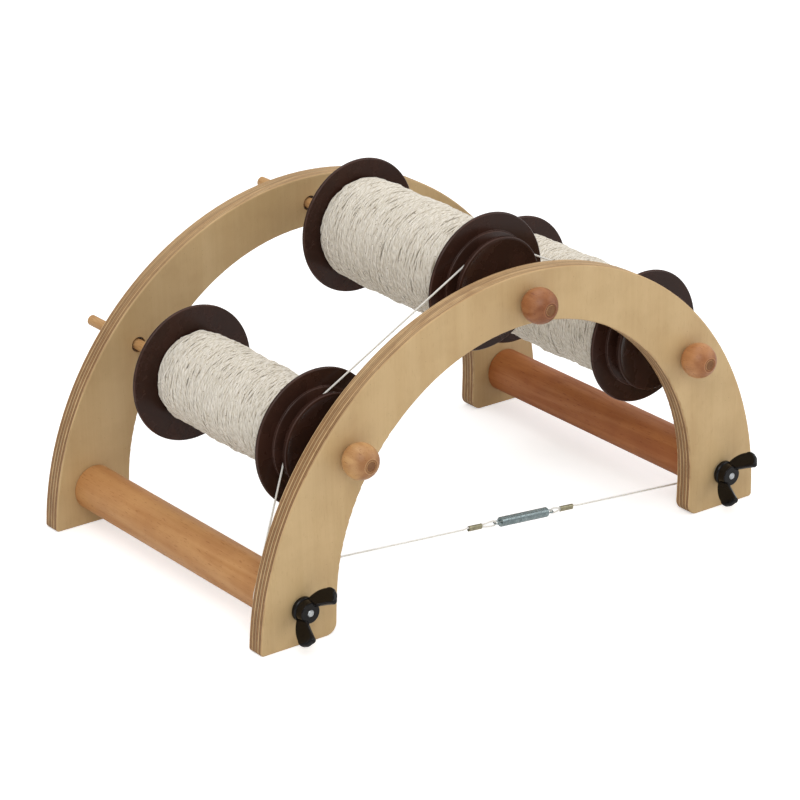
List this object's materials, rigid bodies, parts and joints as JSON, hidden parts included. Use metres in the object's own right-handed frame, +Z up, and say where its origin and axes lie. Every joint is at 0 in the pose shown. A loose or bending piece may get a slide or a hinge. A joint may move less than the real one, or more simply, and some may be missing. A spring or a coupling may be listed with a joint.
{
  "type": "bobbin rack",
  "caption": "Free-standing rack for yarn bobbins: half-round plywood arches joined by round crossbars, bobbins turning on draw-out wooden axle rods, braked by a sprung cord.",
  "frame": {"origin": "middle of the rack footprint, on the floor", "axes": "+X along the row of bobbins to the right of somebody facing the knobs, +Y from the knobs to the far rod ends, +Z up"},
  "size_m": [0.54, 0.4001, 0.305],
  "materials": {
    "plywood": "satin",
    "bar_wood": "satin",
    "rod_wood": "satin",
    "knob_wood": "satin",
    "bobbin_plastic": "satin",
    "yarn": "matte",
    "cord": "satin",
    "spring_steel": "zinc plated",
    "crimp_brass": "dull",
    "zinc": "zinc plated",
    "brass": "plain",
    "nut_plastic": "gloss"
  },
  "bodies": {
    "frame": {"front_arch": "plywood", "rear_arch": "plywood", "left_crossbar": "bar_wood", "right_crossbar": "bar_wood", "left_insert": "brass", "left_stud": "zinc", "left_rear_bolt": "zinc", "right_insert": "brass", "right_stud": "zinc", "right_rear_bolt": "zinc", "brake_cord": "cord", "brake_spring": "spring_steel", "left_crimp": "crimp_brass", "right_crimp": "crimp_brass"},
    "left_axle": {"left_rod": "rod_wood", "left_knob": "knob_wood"},
    "left_bobbin": {"left_whorl": "bobbin_plastic", "left_core": "bobbin_plastic", "left_rear_flange": "bobbin_plastic", "left_yarn": "yarn"},
    "middle_axle": {"middle_rod": "rod_wood", "middle_knob": "knob_wood"},
    "middle_bobbin": {"middle_whorl": "bobbin_plastic", "middle_core": "bobbin_plastic", "middle_rear_flange": "bobbin_plastic", "middle_yarn": "yarn"},
    "right_axle": {"right_rod": "rod_wood", "right_knob": "knob_wood"},
    "right_bobbin": {"right_whorl": "bobbin_plastic", "right_core": "bobbin_plastic", "right_rear_flange": "bobbin_plastic", "right_yarn": "yarn"},
    "left_nut_seat": {"left_washer": "zinc"},
    "left_nut": {"left_wing_nut": "nut_plastic"},
    "right_nut_seat": {"right_washer": "zinc"},
    "right_nut": {"right_wing_nut": "nut_plastic"}
  },
  "joints": [
    {"name": "left_axle_draw", "type": "slide", "parent": "frame", "child": "left_axle", "axis": [0, -1, 0], "range_m": [0, 0.37]},
    {"name": "left_bobbin_spin", "type": "hinge", "parent": "frame", "child": "left_bobbin", "pos_m": [-0.183, 0, 0.154], "axis": [0, 1, 0], "continuous": true},
    {"name": "middle_axle_draw", "type": "slide", "parent": "frame", "child": "middle_axle", "axis": [0, -1, 0], "range_m": [0, 0.37]},
    {"name": "middle_bobbin_spin", "type": "hinge", "parent": "frame", "child": "middle_bobbin", "pos_m": [0, 0, 0.245], "axis": [0, 1, 0], "continuous": true},
    {"name": "right_axle_draw", "type": "slide", "parent": "frame", "child": "right_axle", "axis": [0, -1, 0], "range_m": [0, 0.37]},
    {"name": "right_bobbin_spin", "type": "hinge", "parent": "frame", "child": "right_bobbin", "pos_m": [0.183, 0, 0.154], "axis": [0, 1, 0], "continuous": true},
    {"name": "left_washer_slide", "type": "slide", "parent": "frame", "child": "left_nut_seat", "axis": [0, -1, 0], "range_m": [0, 0.003]},
    {"name": "left_nut_turn", "type": "hinge", "parent": "left_nut_seat", "child": "left_nut", "pos_m": [-0.231, -0.175, 0.0335], "axis": [0, -1, 0], "range_deg": [0, 1080]},
    {"name": "right_washer_slide", "type": "slide", "parent": "frame", "child": "right_nut_seat", "axis": [0, -1, 0], "range_m": [0, 0.003]},
    {"name": "right_nut_turn", "type": "hinge", "parent": "right_nut_seat", "child": "right_nut", "pos_m": [0.231, -0.175, 0.0335], "axis": [0, -1, 0], "range_deg": [0, 1080]}
  ],
  "couplings": [
    {"joint": "left_washer_slide", "follows": "left_nut_turn", "m_per_rad": 0.000159},
    {"joint": "right_washer_slide", "follows": "right_nut_turn", "m_per_rad": 0.000159}
  ]
}
